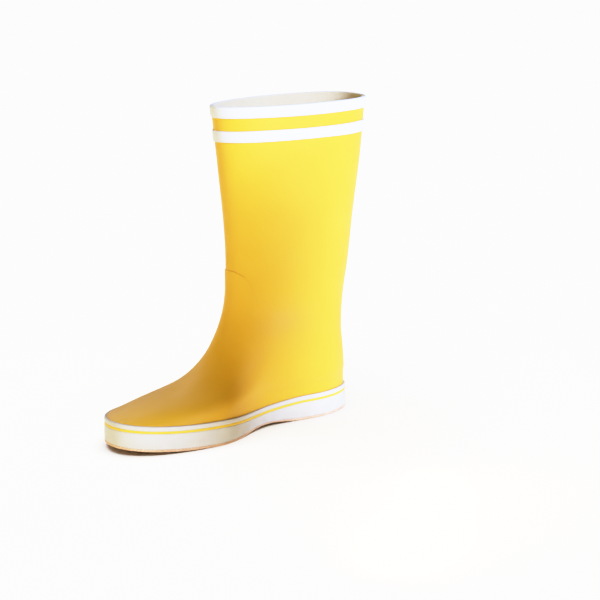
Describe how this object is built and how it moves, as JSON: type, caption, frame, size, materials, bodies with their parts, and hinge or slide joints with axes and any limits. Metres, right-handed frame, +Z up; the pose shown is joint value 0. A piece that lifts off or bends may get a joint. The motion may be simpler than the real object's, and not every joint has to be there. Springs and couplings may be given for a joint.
{
  "type": "rubber rain boot",
  "caption": "Knee-length rubber rain boot with a lined shaft, banded collar, striped foxing round a patterned sole and a loose footbed.",
  "frame": {"origin": "on the ground, under the middle of the boot's outline seen from above", "axes": "+X towards the toe, +Y towards the inner side of the foot, +Z up along the leg"},
  "size_m": [0.3088, 0.1084, 0.3209],
  "materials": {
    "yellow_rubber": "satin hand-laid natural rubber, slightly uneven",
    "white_rubber": "satin off-white rubber strip",
    "yellow_line": "satin yellow rubber strip",
    "crepe_rubber": "matte tan crepe rubber",
    "badge_rubber": "matte black rubber, plain",
    "filler_foam": "dense sponge rubber",
    "shank_steel": "plain spring steel",
    "fibre_board": "pressed cellulose board",
    "knit_lining": "cream cotton knit",
    "backing_rubber": "stiff calendered rubber",
    "footbed_cloth": "cream cloth over foam"
  },
  "bodies": {
    "boot": {"leg": "yellow_rubber", "vamp": "yellow_rubber", "back_strip": "yellow_rubber", "collar_band": "white_rubber", "collar_stripe": "white_rubber", "badge": "badge_rubber", "foxing_band": "white_rubber", "foxing_line": "yellow_line", "foxing_trim": "white_rubber", "outsole": "crepe_rubber", "sole_filler": "filler_foam", "shank": "shank_steel", "heel_wedge": "filler_foam", "insole_board": "fibre_board", "foot_lining": "knit_lining", "leg_lining": "knit_lining", "toe_stiffener": "backing_rubber", "heel_counter": "backing_rubber", "ankle_patches": "backing_rubber"},
    "footbed": {"footbed": "footbed_cloth"}
  },
  "joints": [
    {"name": "footbed_lift", "type": "hinge", "parent": "boot", "child": "footbed", "pos_m": [0.143, 0, 0.018], "axis": [0, 1, 0], "range_deg": [0, 3]}
  ]
}
